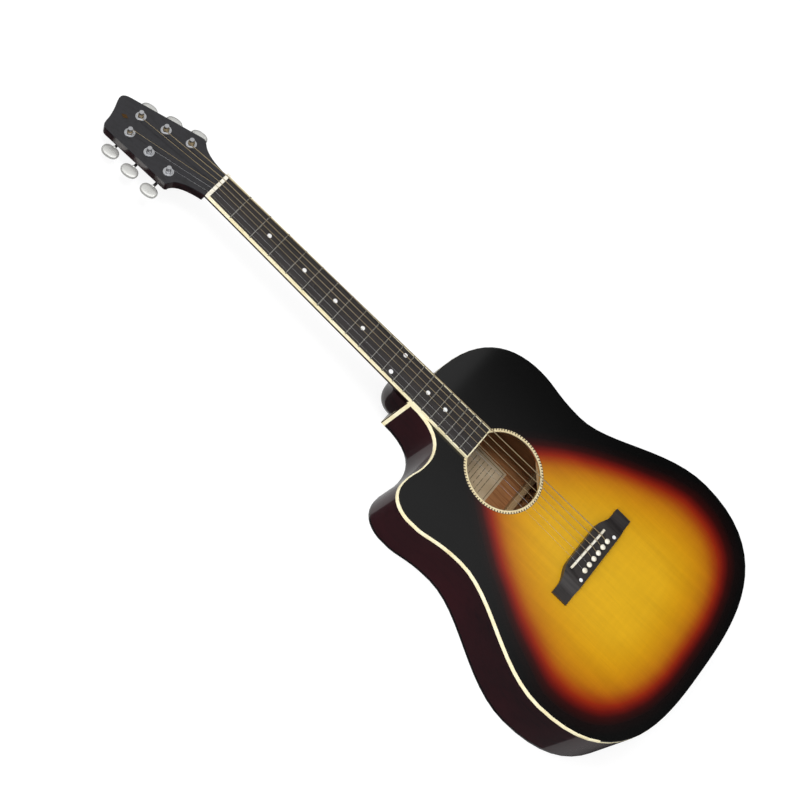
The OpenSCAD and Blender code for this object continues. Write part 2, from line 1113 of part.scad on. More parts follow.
// Post with its wheel; the teeth are a wave round the rim
function wheel_rim() = [
    for (i = [0:wheel_teeth * 6 - 1])
        let (a = 90 + 360 * i / (wheel_teeth * 6), r = wheel_r - tooth_h * cos(wheel_teeth * (a - 90)))
        [r * cos(a), r * sin(a)]
];

module tuner_post(n) {
    color("silver")
        tuner_place(n)
            difference() {
                union() {
                    translate([0, 0, worm_z - wheel_t / 2])
                        linear_extrude(height = wheel_t)
                            polygon(wheel_rim());
                    translate([0, 0, worm_z])
                        cylinder(r = post_d / 2, h = -worm_z + 4);
                    translate([0, 0, 4])
                        cylinder(r1 = post_d / 2, r2 = 2.5, h = 1);
                    translate([0, 0, 5])
                        cylinder(r = 2.5, h = 2);
                    translate([0, 0, 7])
                        cylinder(r1 = 2.5, r2 = post_d / 2, h = 1);
                    translate([0, 0, 8])
                        cylinder(r = post_d / 2, h = 2);
                }
                translate([-5, 0, 6])
                    rotate([0, 90, 0])
                        cylinder(r = 0.9, h = 10);
            }
}

// The thread is a round bar whose centre circles the axis once in every pitch
module worm_thread() {
    turns = worm_len / worm_pitch;
    steps = round(turns * 10);
    sides = 12;
    loft([
        for (j = [0:steps])
            let (x = worm_len * (j / steps - 0.5), a = 360 * x / worm_pitch + 180)
            [
                for (k = [0:sides - 1])
                    let (b = 360 * k / sides)
                    [x, thread_h * cos(a) + worm_r * cos(b), thread_h * sin(a) + worm_r * sin(b)]
            ]
    ]);
}

// Button shaft: worm, bearing collar, shank and the tenon that holds the button
module tuner_worm(n) {
    color("silver")
        tuner_place(n)
            translate([0, worm_offset, worm_z]) {
                worm_thread();
                rotate([0, 90, 0]) {
                    translate([0, 0, -7.3])
                        cylinder(r = journal_r, h = 4);
                    translate([0, 0, worm_len / 2 - touch])
                        cylinder(r = collar_r, h = 9 - worm_len / 2);
                    translate([0, 0, 8.9])
                        cylinder(r = 2, h = button_start - 8.9);
                    cylinder(r = button_tenon_r, h = button_x + 1);
                }
            }
}

// Kidney shaped button
module tuner_button(n) {
    color("white")
        tuner_place(n)
            translate([0, worm_offset, worm_z])
                difference() {
                    union() {
                        for (side = [-1, 1])
                            translate([button_x, side * button_lobe_y, -button_t / 2])
                                cylinder(r = button_lobe_r, h = button_t);
                        translate([button_x - button_lobe_r, -button_lobe_y, -button_t / 2])
                            cube([2 * button_lobe_r, 2 * button_lobe_y, button_t]);
                        rotate([0, 90, 0])
                            translate([0, 0, button_start])
                                cylinder(r = 2.9, h = 3);
                    }
                    rotate([0, 90, 0])
                        cylinder(r = button_tenon_r, h = button_x + 1);
                }
}

soundboard();
back();
side_bass();
side_treble();
neck_block();
tail_block();
top_lining();
back_lining();
top_binding();
back_binding();
cutaway_strip();
rosette();
top_braces();
bridge_plate();
back_braces();
paper_label();
bridge();
saddle();
bridge_pins();
pearl_dots();
neck_shaft();
headstock();
neck_heel();
heel_cap();
headstock_veneer();
headstock_inlay();
fingerboard();
fingerboard_binding();
frets();
nut();
truss_rod();
truss_rod_nut();
tuner_housings();
tuner_covers();
tuner_bushings();
tuner_screws();
for (n = [1:6])
    string(n);
for (n = [1:6])
    tuner_post(n);
for (n = [1:6])
    tuner_worm(n);
for (n = [1:6])
    tuner_button(n);
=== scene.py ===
"""Looks of a left-handed cutaway guitar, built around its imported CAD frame."""

import math

import bmesh
import bpy
from mathutils import Matrix, Vector


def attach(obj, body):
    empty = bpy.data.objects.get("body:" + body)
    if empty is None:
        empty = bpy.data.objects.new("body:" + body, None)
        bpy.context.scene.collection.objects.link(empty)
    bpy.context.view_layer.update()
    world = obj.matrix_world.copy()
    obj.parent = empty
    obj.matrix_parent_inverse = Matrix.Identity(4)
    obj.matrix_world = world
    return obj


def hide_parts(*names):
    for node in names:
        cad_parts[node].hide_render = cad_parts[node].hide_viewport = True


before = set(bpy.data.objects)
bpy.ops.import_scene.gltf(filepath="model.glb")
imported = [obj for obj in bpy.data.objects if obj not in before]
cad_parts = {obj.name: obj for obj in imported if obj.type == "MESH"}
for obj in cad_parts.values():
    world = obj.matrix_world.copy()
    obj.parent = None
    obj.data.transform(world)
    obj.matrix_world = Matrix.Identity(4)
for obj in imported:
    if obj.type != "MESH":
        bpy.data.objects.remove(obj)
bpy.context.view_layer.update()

# Sizes are the CAD's, in millimetres. The soundboard frame has its origin on the outside of the soundboard
# under the saddle, x to the bass side, y to the head and z out of the board. Shader sizes are metres.
MM = 0.001
SCALE_LENGTH = 648.0
BODY_DEPTH = 97.0
BACK_TAPER = math.radians(1.8)
HEAD_ANGLE = math.radians(15)

# Outline: widest points of the bouts, the narrowest of the waist, and the cutaway
LOWER = (205.5, -80.0)
WAIST = (140.0, 109.0)
UPPER = (148.0, 187.0)
TAIL_Y = -223.0
SHOULDER_Y = 291.0
CUTAWAY_X = -25.4
HORN_TIP = (-115.0, 230.0)
CUTAWAY_FLOOR = (-70.0, 222.3)

# How much fuller the thin-string side is at the tail's corner and how far it is drawn in at the waist
TREBLE_CORNER = 5.5
TREBLE_PINCH = 1.6

# Plates, trims, neck and head
BINDING_W = 1.8
BINDING_H = 6.0
SIDE_T = 2.6
PLATE_T = 2.8
BOARD_T = 5.8
BOARD_RADIUS = 400.0
FRET_H = 1.0
NECK_DEPTH_BODY = 16.4
NECK_DEPTH_NUT = 14.2
NUT_T = 5.0
VENEER_T = 1.5
HEAD_Y = SCALE_LENGTH + NUT_T
HEAD_Z = VENEER_T * math.cos(HEAD_ANGLE)
HOLE_Y = 141.2
HOLE_R = 52.0

# Strings from the pins to the posts, and the tuners
STRING_D = (0.3, 0.42, 0.62, 0.82, 1.08, 1.36)
NUT_SPREAD = 35.0
PIN_SPREAD = 54.4
PIN_Y = -18.4
PIN_GROOVE_Y = PIN_Y + 1.75
SADDLE_Y = -4.5
SADDLE_SLANT = -0.05
SADDLE_TOP = 12.3
STRING_GAP_NUT = 0.4
POST_R = 3.0
WORM_Y = 6.5
WORM_Z = -19.0

TOP = (Matrix.Translation((0, 0, BODY_DEPTH * math.cos(BACK_TAPER) * MM))
       @ Matrix.Rotation(-BACK_TAPER, 4, "X"))
HEAD = (TOP @ Matrix.Translation((0, HEAD_Y * MM, HEAD_Z * MM))
        @ Matrix.Rotation(-HEAD_ANGLE, 4, "X"))


# ---------------------------------------------------------------- curves
def bezier(p, t):
    """Point at t on the curve whose ends are the first and the last of four points."""
    a, b, c, d = ((1 - t) ** 3, 3 * (1 - t) ** 2 * t, 3 * (1 - t) * t * t, t ** 3)
    return tuple(a * p[0][i] + b * p[1][i] + c * p[2][i] + d * p[3][i] for i in (0, 1))


def curve(p, n):
    """N points of a Bezier curve, without its last one."""
    return [bezier(p, i / n) for i in range(n)]


def mirrored(points):
    return [(-x, y) for x, y in reversed(points)]


def unit(x, y):
    size = math.hypot(x, y)
    return x / size, y / size


def inset(points, d):
    """The closed outline moved inwards by d."""
    out = []
    for i, b in enumerate(points):
        a, c = points[i - 1], points[(i + 1) % len(points)]
        u, v = unit(b[0] - a[0], b[1] - a[1]), unit(c[0] - b[0], c[1] - b[1])
        n1, n2 = (-u[1], u[0]), (-v[1], v[0])
        k = d / (1 + n1[0] * n2[0] + n1[1] * n2[1])
        out.append((b[0] + k * (n1[0] + n2[0]), b[1] + k * (n1[1] + n2[1])))
    return out


def body_outline():
    """The CAD outline's own points, anticlockwise from the tail, with the place of (0, SHOULDER_Y) in them.
    The bare numbers place the handles of the curves."""
    def half(corner, pinch):
        waist = (WAIST[0] - pinch, WAIST[1])
        tail = curve([(0, TAIL_Y), (81 + corner, TAIL_Y), (LOWER[0], LOWER[1] - 139 - corner), LOWER], 18)
        middle = curve([LOWER, (LOWER[0], LOWER[1] + 71), (waist[0], waist[1] - 52 - 5 * pinch), waist], 12)
        return tail + middle + curve([waist, (waist[0], waist[1] + 44), (UPPER[0], UPPER[1] - 28), UPPER], 7)

    lower, treble = half(0, 0), half(TREBLE_CORNER, TREBLE_PINCH)
    bass = curve([UPPER, (UPPER[0], UPPER[1] + 56), (113, SHOULDER_Y), (10, SHOULDER_Y)], 15)
    floor, tip, upper = CUTAWAY_FLOOR, HORN_TIP, (-UPPER[0], UPPER[1])
    cutaway = ([(CUTAWAY_X, SHOULDER_Y)]
               + curve([(CUTAWAY_X, SHOULDER_Y - 4), (-23.6, 228), (-53, floor[1]), floor], 11)
               + curve([floor, (floor[0] - 20, floor[1]), (tip[0] + 20, tip[1]), tip], 5)
               + curve([tip, (tip[0] - 22, tip[1]), (upper[0], upper[1] + 25), upper], 9))
    first = lower + bass + [(10, SHOULDER_Y)]
    return first + [(0, SHOULDER_Y)] + cutaway + [p for p in mirrored(treble) if p[0] < 0], len(first)


OUTLINE, SHOULDER_AT = body_outline()


def back_z(y, height):
    """Height in the soundboard frame of a point that lies a given height above the back's plane."""
    full = BODY_DEPTH * math.cos(BACK_TAPER)
    return (height - full + y * math.sin(BACK_TAPER)) / math.cos(BACK_TAPER)


def board_half_w(y):
    """Half the width of the fingerboard, which widens from the nut to the last fret."""
    at_nut, gain, last_fret = 21.3, 5.2, SCALE_LENGTH * 2 ** (-20 / 12)
    return at_nut + gain * (SCALE_LENGTH - y) / (SCALE_LENGTH - last_fret)


def crown_drop(x):
    """How far the fingerboard's crown has fallen at x."""
    return BOARD_RADIUS - math.sqrt(BOARD_RADIUS ** 2 - x * x)


def side_of(n):
    """1 for the tuners of strings 4 to 6 on the bass side, -1 for the others."""
    return 1 if n > 3 else -1


def rank_of(n):
    """How many tuners of the same side lie between this one and the nut."""
    return 6 - n if n > 3 else n - 1


def post_xy(n):
    """Middle of a string post in the head's frame."""
    first = (27.0, 61.0) if n > 3 else (-26.5, 55.0)
    step = (6, 36)
    return first[0] - side_of(n) * step[0] * rank_of(n), first[1] + step[1] * rank_of(n)


def spread(width, n):
    """X of string n where the outer two are width apart."""
    return width * ((n - 1) / 5 - 0.5)


# ---------------------------------------------------------------- meshes
def mesh_object(name, verts, faces, matrix, sharp=40, paint=None):
    """A new object from points in millimetres in one of the frames; edges over sharp degrees stay crisp.
    paint gives each face the number of its material."""
    me = bpy.data.meshes.new(name)
    me.from_pydata([matrix @ (Vector(v) * MM) for v in verts], [], faces)
    if paint:
        me.polygons.foreach_set("material_index", paint)
    work = bmesh.new()
    work.from_mesh(me)
    bmesh.ops.remove_doubles(work, verts=work.verts, dist=1e-7)
    bmesh.ops.recalc_face_normals(work, faces=work.faces)
    work.to_mesh(me)
    work.free()
    finish_shading(me, sharp)
    obj = bpy.data.objects.new(name, me)
    bpy.context.scene.collection.objects.link(obj)
    return obj


def finish_shading(me, sharp):
    me.polygons.foreach_set("use_smooth", [True] * len(me.polygons))
    me.set_sharp_from_angle(angle=math.radians(sharp))
    me.update()


def loft(rings, wrap=False):
    """Points and faces of a row of rings; wrap joins the last ring to the first."""
    n = len(rings[0])
    faces = []
    for i in range(len(rings) if wrap else len(rings) - 1):
        j = (i + 1) % len(rings)
        faces += [(i * n + k, i * n + (k + 1) % n, j * n + (k + 1) % n, j * n + k) for k in range(n)]
    if not wrap:
        faces += [tuple(range(n)), tuple((len(rings) - 1) * n + k for k in range(n))]
    return [p for ring in rings for p in ring], faces


def soften_cad(node, width_mm):
    """Rounds a CAD node's crisp edges with modifiers alone."""
    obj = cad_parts[node]
    weld = obj.modifiers.new("weld", "WELD")
    weld.merge_threshold = 2e-6
    flat = obj.modifiers.new("flat", "DECIMATE")
    flat.decimate_type = "DISSOLVE"
    flat.angle_limit = math.radians(0.4)
    bevel = obj.modifiers.new("edges", "BEVEL")
    bevel.width = width_mm * MM
    bevel.segments = 2
    bevel.limit_method = "ANGLE"
    bevel.angle_limit = math.radians(35)
    bevel.harden_normals = False


def place(obj, body, materials, replaces=()):
    """Gives a piece its materials, its body and the CAD nodes that it stands for."""
    for material in materials if isinstance(materials, tuple) else (materials,):
        obj.data.materials.append(material)
    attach(obj, body)
    if replaces:
        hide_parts(*replaces)


# ---------------------------------------------------------------- materials
def linear(r, g, b):
    """An sRGB colour in 0-255 as linear RGBA."""
    def one(c):
        c /= 255
        return c / 12.92 if c <= 0.04045 else ((c + 0.055) / 1.055) ** 2.4
    return (one(r), one(g), one(b), 1.0)


class Shader:
    """A node tree with short calls for the nodes that the materials share."""

    def __init__(self, name):
        self.material = bpy.data.materials.new(name)
        self.material.use_nodes = True
        self.tree = self.material.node_tree
        self.tree.nodes.clear()
        self.out = self.tree.nodes.new("ShaderNodeOutputMaterial")
        self.bsdf = self.tree.nodes.new("ShaderNodeBsdfPrincipled")
        self.join(self.bsdf.outputs[0], self.out.inputs[0])
        coords = self.tree.nodes.new("ShaderNodeTexCoord")
        self.place = coords.outputs["Object"]
        split = self.tree.nodes.new("ShaderNodeSeparateXYZ")
        self.join(self.place, split.inputs[0])
        self.x, self.y, self.z = split.outputs

    def join(self, source, target):
        self.tree.links.new(source, target)

    def feed(self, socket, value):
        """Joins or sets a socket, whichever the value calls for."""
        if isinstance(value, bpy.types.NodeSocket):
            self.join(value, socket)
        else:
            socket.default_value = value

    def math(self, operation, a, b=0.0):
        n = self.tree.nodes.new("ShaderNodeMath")
        n.operation = operation
        self.feed(n.inputs[0], a)
        self.feed(n.inputs[1], b)
        return n.outputs[0]

    def stretch(self, scale):
        """Coordinates for a pattern that is long where the scale is small."""
        n = self.tree.nodes.new("ShaderNodeMapping")
        self.join(self.place, n.inputs["Vector"])
        n.inputs["Scale"].default_value = scale
        return n.outputs[0]

    def noise(self, scale, vector=None, detail=4.0, distortion=0.0):
        n = self.tree.nodes.new("ShaderNodeTexNoise")
        self.join(vector or self.place, n.inputs["Vector"])
        n.inputs["Scale"].default_value = scale
        n.inputs["Detail"].default_value = detail
        n.inputs["Roughness"].default_value = 0.55
        n.inputs["Distortion"].default_value = distortion
        return n.outputs["Fac"]

    def ramp(self, fac, stops):
        n = self.tree.nodes.new("ShaderNodeValToRGB")
        self.join(fac, n.inputs[0])
        items = n.color_ramp.elements
        while len(items) < len(stops):
            items.new(0.5)
        for item, (at, colour) in zip(items, stops):
            item.position = at
            item.color = colour
        return n.outputs[0]

    def span(self, value, low, high, to_low=0.0, to_high=1.0, smooth=False):
        """The value's way from low to high, cut off at both, as a way from to_low to to_high."""
        n = self.tree.nodes.new("ShaderNodeMapRange")
        n.interpolation_type = "SMOOTHSTEP" if smooth else "LINEAR"
        n.clamp = True
        self.feed(n.inputs["Value"], value)
        for key, v in (("From Min", low), ("From Max", high), ("To Min", to_low), ("To Max", to_high)):
            n.inputs[key].default_value = v
        return n.outputs[0]

    def mix(self, fac, a, b):
        n = self.tree.nodes.new("ShaderNodeMix")
        n.data_type = "RGBA"
        self.feed(n.inputs[0], fac)
        self.feed(n.inputs[6], a)
        self.feed(n.inputs[7], b)
        return n.outputs[2]

    def shade(self, colour, fac):
        """The colour made lighter or darker by a value around 1."""
        n = self.tree.nodes.new("ShaderNodeVectorMath")
        n.operation = "SCALE"
        self.feed(n.inputs[0], colour[:3] if isinstance(colour, tuple) else colour)
        self.feed(n.inputs["Scale"], fac)
        return n.outputs[0]

    def bump(self, height, distance_mm, strength):
        n = self.tree.nodes.new("ShaderNodeBump")
        n.inputs["Strength"].default_value = strength
        n.inputs["Distance"].default_value = distance_mm * MM
        self.join(height, n.inputs["Height"])
        return n.outputs[0]

    def set(self, **values):
        names = {"colour": "Base Color", "rough": "Roughness", "metal": "Metallic", "normal": "Normal",
                 "coat": "Coat Weight", "coat_rough": "Coat Roughness", "coat_normal": "Coat Normal",
                 "spec": "Specular IOR Level", "glow": "Emission Color", "glow_level": "Emission Strength"}
        for key, value in values.items():
            self.feed(self.bsdf.inputs[names[key]], value)


def make_sunburst():
    """Spruce under a lacquer that goes from amber through red to black with r, the distance from an
    egg-shaped middle. The change is steeper towards the neck."""
    s = Shader("sunburst_top")
    centre_y, half_w, reach_up, reach_down = -0.075, 0.165, 0.250, 0.115
    u = s.math("DIVIDE", s.math("ABSOLUTE", s.x), half_w)
    dy = s.math("SUBTRACT", s.y, centre_y)

    def radius(reach, power):
        v = s.math("DIVIDE", s.math("ABSOLUTE", dy), reach)
        total = s.math("ADD", s.math("POWER", u, power), s.math("POWER", v, power))
        return s.math("POWER", total, 1 / power)

    above = s.math("GREATER_THAN", dy, 0.0)
    up, down = radius(reach_up, 1.3), radius(reach_down, 2.7)
    r = s.math("ADD", s.math("MULTIPLY", above, up),
               s.math("MULTIPLY", s.math("SUBTRACT", 1.0, above), down))
    edge, steepest = 0.97, 1.32
    steep = s.span(dy, 0.0, 0.12, 1.0, steepest)
    r = s.math("ADD", edge, s.math("MULTIPLY", s.math("SUBTRACT", r, edge), steep))
    wobble = s.noise(9.0, detail=2.0)
    r = s.math("ADD", r, s.span(wobble, 0.2, 0.8, -0.02, 0.02))
    colours = [(0.0, linear(222, 172, 26)), (0.40, linear(216, 164, 22)), (0.60, linear(207, 150, 10)),
               (0.74, linear(196, 133, 5)), (0.85, linear(180, 108, 4)), (0.925, linear(158, 68, 4)),
               (0.98, linear(138, 33, 4)), (1.03, linear(100, 12, 5)), (1.08, linear(50, 6, 5)),
               (1.15, linear(18, 7, 7)), (1.23, linear(7, 7, 7))]
    top = colours[-1][0]
    lacquer = s.ramp(s.math("DIVIDE", r, top), [(at / top, c) for at, c in colours])
    fibres = s.noise(1.0, s.stretch((900.0, 9.0, 900.0)), detail=3.0)
    bands = s.noise(1.0, s.stretch((70.0, 3.0, 70.0)), detail=2.0)
    silk = s.noise(1.0, s.stretch((30.0, 160.0, 30.0)), detail=2.0)
    tone = s.math("ADD", s.span(fibres, 0.3, 0.7, 0.955, 1.035), s.span(bands, 0.3, 0.7, -0.05, 0.05))
    tone = s.math("ADD", tone, s.span(silk, 0.4, 0.7, -0.012, 0.02))
    wear = s.noise(38.0, detail=5.0)
    s.set(colour=s.shade(lacquer, tone), rough=0.34, spec=0.12, coat=1.0,
          coat_rough=0.07, normal=s.bump(fibres, 0.02, 0.35),
          coat_normal=s.bump(wear, 0.012, 0.25))
    return s.material


def make_gloss_wood(name, light, dark, coat_rough, red=None, bare=None):
    """Dark stained wood under gloss lacquer, grain along Y. Bare gives the two colours of the back plate's
    inside face, which lies above bare_z and has no lacquer."""
    s = Shader(name)
    grain = s.noise(1.0, s.stretch((160.0, 5.0, 160.0)), detail=5.0, distortion=0.6)
    pores = s.noise(1.0, s.stretch((1400.0, 60.0, 1400.0)), detail=2.0)
    fac = s.math("ADD", grain, s.span(pores, 0.3, 0.7, -0.06, 0.06))
    colour = s.ramp(fac, [(0.32, dark), (0.5, light), (0.68, dark)])
    rough, bare_rough, coat = 0.45, 0.75, 1.0
    if red:
        colour = s.mix(s.span(s.noise(5.0, detail=2.0), 0.35, 0.7, 0.0, 0.6), colour, red)
    if bare:
        bare_z = 0.0014
        inside = s.span(s.z, bare_z - 0.0002, bare_z + 0.0002)
        colour = s.mix(inside, colour, s.ramp(fac, [(0.32, bare[1]), (0.5, bare[0]), (0.68, bare[1])]))
        rough = s.span(inside, 0.0, 1.0, rough, bare_rough)
        coat = s.math("SUBTRACT", 1.0, inside)
    orange_peel = s.noise(160.0, detail=2.0)
    s.set(colour=colour, rough=rough, spec=0.3, coat=coat, coat_rough=coat_rough,
          normal=s.bump(pores, 0.015, 0.3), coat_normal=s.bump(orange_peel, 0.006, 0.25))
    return s.material


def make_bare_wood(name, light, dark, along="Y"):
    """Unfinished wood with its grain along one axis."""
    s = Shader(name)
    scale = {"Y": (220.0, 7.0, 220.0), "X": (7.0, 220.0, 220.0)}[along]
    grain = s.noise(1.0, s.stretch(scale), detail=5.0, distortion=0.8)
    blotch = s.noise(18.0, detail=3.0)
    colour = s.ramp(grain, [(0.3, dark), (0.55, light), (0.75, dark)])
    s.set(colour=s.shade(colour, s.span(blotch, 0.3, 0.7, 0.86, 1.1)), rough=0.7, spec=0.3,
          normal=s.bump(grain, 0.06, 0.5))
    return s.material


def make_dark_board():
    """Near-black fingerboard and bridge wood, satin from handling, with fine open pores."""
    s = Shader("dark_wood")
    grain = s.noise(1.0, s.stretch((300.0, 10.0, 300.0)), detail=5.0, distortion=0.4)
    pores = s.noise(1.0, s.stretch((2200.0, 90.0, 2200.0)), detail=2.0)
    colour = s.ramp(grain, [(0.3, linear(24, 22, 22)), (0.5, linear(51, 47, 46)), (0.72, linear(33, 30, 30))])
    handled = s.noise(25.0, detail=3.0)
    s.set(colour=colour, rough=s.span(handled, 0.3, 0.7, 0.26, 0.42), spec=0.5,
          normal=s.bump(pores, 0.05, 0.5))
    return s.material


def make_plastic(name, colour, deep, rough=0.18, coat=0.6, scale=60.0):
    """Polished plastic or bone: slow colour drift, faint scratches in the gloss."""
    s = Shader(name)
    drift = s.noise(scale, detail=4.0)
    scratch = s.noise(1.0, s.stretch((2600.0, 240.0, 2600.0)), detail=2.0)
    s.set(colour=s.mix(s.span(drift, 0.35, 0.7), colour, deep), coat=coat, coat_rough=0.1,
          rough=s.span(scratch, 0.35, 0.7, rough, rough + 0.14), normal=s.bump(scratch, 0.01, 0.25))
    return s.material


def make_rosette():
    """Rope ring: cream with slanted dark ticks on its outer part, between two thin dark lines."""
    s = Shader("rosette_ring")
    centre_y = HOLE_Y * MM * math.cos(BACK_TAPER)
    dy = s.math("SUBTRACT", s.y, centre_y)
    radius = s.math("SQRT", s.math("ADD", s.math("MULTIPLY", s.x, s.x), s.math("MULTIPLY", dy, dy)))
    angle = s.math("ARCTAN2", dy, s.x)
    ticks, slant, rim = 88.0, 260.0, HOLE_R * MM
    lean = s.math("MULTIPLY", radius, slant)
    wave = s.math("SINE", s.math("ADD", s.math("MULTIPLY", angle, ticks), lean))
    tick = s.span(wave, 0.1, 0.55)
    outer = s.span(radius, rim + 0.0021, rim + 0.0025)
    inner_line = s.math("SUBTRACT", 1.0, s.span(radius, rim + 0.0003, rim + 0.0005))
    edge = s.math("MAXIMUM", s.span(radius, rim + 0.0043, rim + 0.0046), inner_line)
    cream = s.mix(s.span(s.noise(300.0), 0.35, 0.7), linear(240, 226, 184), linear(214, 194, 146))
    rope = s.mix(s.math("MULTIPLY", tick, outer), cream, linear(52, 38, 26))
    s.set(colour=s.mix(s.math("MULTIPLY", edge, 0.75), rope, linear(30, 22, 18)), rough=0.3,
          coat=1.0, coat_rough=0.08, normal=s.bump(wave, 0.02, 0.3))
    return s.material


def make_label():
    """Old paper with a plain printed border and rules, and no words."""
    s = Shader("label_paper")
    left, right, low, high, rule_step = -0.046, 0.054, 0.117, 0.177, 0.0065
    paper = s.mix(s.span(s.noise(45.0, detail=6.0), 0.35, 0.7), linear(222, 202, 170), linear(200, 176, 140))
    from_left, from_right = s.math("SUBTRACT", s.x, left), s.math("SUBTRACT", right, s.x)
    from_low, from_high = s.math("SUBTRACT", s.y, low), s.math("SUBTRACT", high, s.y)
    margin = s.math("MINIMUM", s.math("MINIMUM", from_left, from_right),
                    s.math("MINIMUM", from_low, from_high))
    border = s.math("MULTIPLY", s.span(margin, 0.0030, 0.0032), s.span(margin, 0.0040, 0.0042, 1.0, 0.0))
    rule = s.span(s.math("SINE", s.math("MULTIPLY", from_low, 2 * math.pi / rule_step)), 0.80, 0.92)
    inside = s.span(margin, 0.0095, 0.0098)
    broken = s.span(s.noise(1.0, s.stretch((520.0, 60.0, 1.0)), detail=1.0), 0.40, 0.47)
    ink = s.math("MAXIMUM", border, s.math("MULTIPLY", s.math("MULTIPLY", rule, inside), broken))
    s.set(colour=s.mix(s.math("MULTIPLY", ink, 0.75), paper, linear(60, 45, 38)), rough=0.85, spec=0.15,
          normal=s.bump(s.noise(900.0, detail=3.0), 0.03, 0.5))
    return s.material


def make_metal(name, colour, rough, rough_to, scale=40.0, brushed=None, metal=1.0):
    """Metal with slow smudges in its gloss; brushed stretches the fine marks."""
    s = Shader(name)
    smudge = s.noise(scale, detail=5.0)
    marks = s.noise(1.0, s.stretch(brushed or (900.0, 900.0, 900.0)), detail=2.0)
    s.set(colour=s.shade(colour, s.span(smudge, 0.3, 0.7, 0.9, 1.04)), metal=metal,
          rough=s.span(smudge, 0.3, 0.7, rough, rough_to), normal=s.bump(marks, 0.008, 0.2))
    return s.material


def make_wound():
    """Bronze winding: fine rings across the string, with painted shade darkening the grooves between the
    turns.
    """
    s = Shader("wound_string")
    pitch = 0.0005
    wrap = s.math("SINE", s.math("MULTIPLY", s.y, 2 * math.pi / pitch))
    tone = s.mix(s.span(s.noise(12.0), 0.3, 0.7), linear(218, 199, 164), linear(196, 175, 138))
    # painted shade: the colour falls to 0.6 of itself in the grooves between the turns
    s.set(colour=s.shade(tone, s.span(wrap, -1.0, 0.4, 0.6, 1.0)), metal=0.9, rough=0.4,
          normal=s.bump(wrap, 0.06, 0.6))
    return s.material


def make_pearl():
    """Mother of pearl: pale blue, cream and rose that swirl into each other."""
    s = Shader("pearl")
    swirl = s.noise(420.0, detail=2.0, distortion=1.5)
    colour = s.ramp(swirl, [(0.3, linear(222, 232, 236)), (0.5, linear(250, 250, 246)),
                            (0.7, linear(226, 220, 232))])
    s.set(colour=colour, rough=0.2, coat=1.0, coat_rough=0.05, normal=s.bump(swirl, 0.004, 0.2))
    return s.material


def make_floor():
    """White sweep that glows a little, so that shadows on it stay faint."""
    s = Shader("pale_floor")
    speck = s.noise(60.0, detail=5.0)
    glow, paint = 0.8, 0.3
    s.set(colour=s.mix(s.span(speck, 0.3, 0.7), (paint, paint, paint, 1.0), (paint * 0.98,) * 3 + (1.0,)),
          rough=0.9, spec=0.0, glow=(1.0, 1.0, 1.0, 1.0), glow_level=glow)
    return s.material


MAT = {
    "sunburst": make_sunburst(),
    "side": make_gloss_wood("side_wood", linear(36, 16, 20), linear(18, 12, 16), 0.04, linear(56, 14, 22)),
    "back": make_gloss_wood("back_wood", linear(48, 16, 20), linear(20, 10, 13), 0.05,
                            bare=(linear(184, 128, 82), linear(150, 98, 60))),
    "neck": make_gloss_wood("neck_wood", linear(34, 14, 18), linear(16, 10, 12), 0.05),
    "face": make_gloss_wood("head_face", linear(28, 27, 32), linear(16, 15, 19), 0.06),
    "inner": make_bare_wood("inner_wood", linear(206, 170, 128), linear(172, 132, 92)),
    "inner_cross": make_bare_wood("inner_wood_cross", linear(200, 168, 124), linear(164, 126, 88), "X"),
    "back_inside": make_bare_wood("back_inside", linear(176, 122, 80), linear(140, 92, 58)),
    "dark": make_dark_board(),
    "cream": make_plastic("cream_trim", linear(246, 238, 204), linear(232, 218, 172)),
    "black": make_plastic("black_trim", linear(14, 12, 13), linear(22, 18, 20)),
    "bone": make_plastic("bone_white", linear(244, 240, 226), linear(226, 218, 196), 0.25, 0.4, 180.0),
    "pearl": make_pearl(),
    "rosette": make_rosette(),
    "label": make_label(),
    "chrome": make_metal("chrome_metal", linear(226, 227, 230), 0.06, 0.2),
    "button": make_metal("button_metal", linear(250, 250, 246), 0.24, 0.38, 90.0, metal=0.7),
    "fret": make_metal("fret_metal", linear(214, 212, 204), 0.18, 0.32, 60.0, (2400.0, 120.0, 900.0)),
    "steel": make_metal("rod_steel", linear(96, 96, 98), 0.35, 0.5),
    "gold": make_metal("gold_metal", linear(112, 84, 52), 0.35, 0.5),
    "plain_string": make_metal("plain_string", linear(206, 206, 208), 0.2, 0.34),
    "wound_string": make_wound(),
}


# ---------------------------------------------------------------- body
def outline_rings(section, indices):
    """For each outline point, the ring of a section given as (inset, height) pairs. A height is a number in
    the soundboard frame, or ("back", h) above the back's plane."""
    moved = {d: inset(OUTLINE, d) for d in {d for d, _ in section}}
    rings = []
    for i in indices:
        ring = []
        for d, z in section:
            x, y = moved[d][i % len(OUTLINE)]
            ring.append((x, y, back_z(y, z[1]) if isinstance(z, tuple) else z))
        rings.append(ring)
    return rings


def build_sides():
    """The two bent sides from the tail to the neck, bare on their inner face."""
    section = [(0, ("back", BINDING_H)), (0, -BINDING_H), (BINDING_W, -BINDING_H), (BINDING_W, -PLATE_T),
               (SIDE_T, -PLATE_T), (SIDE_T, ("back", PLATE_T)), (BINDING_W, ("back", PLATE_T)),
               (BINDING_W, ("back", BINDING_H))]
    runs = {"side_bass": range(0, SHOULDER_AT + 1), "side_treble": range(SHOULDER_AT, len(OUTLINE) + 1)}
    for node, run in runs.items():
        rings = outline_rings(section, run)
        verts, faces = loft(rings)
        inner_face = 4
        paint = [1 if i % len(section) == inner_face else 0 for i in range(len(faces))]
        place(mesh_object(node + "_wood", verts, faces, TOP, 32, paint), "guitar",
               (MAT["side"], MAT["back_inside"]), [node])


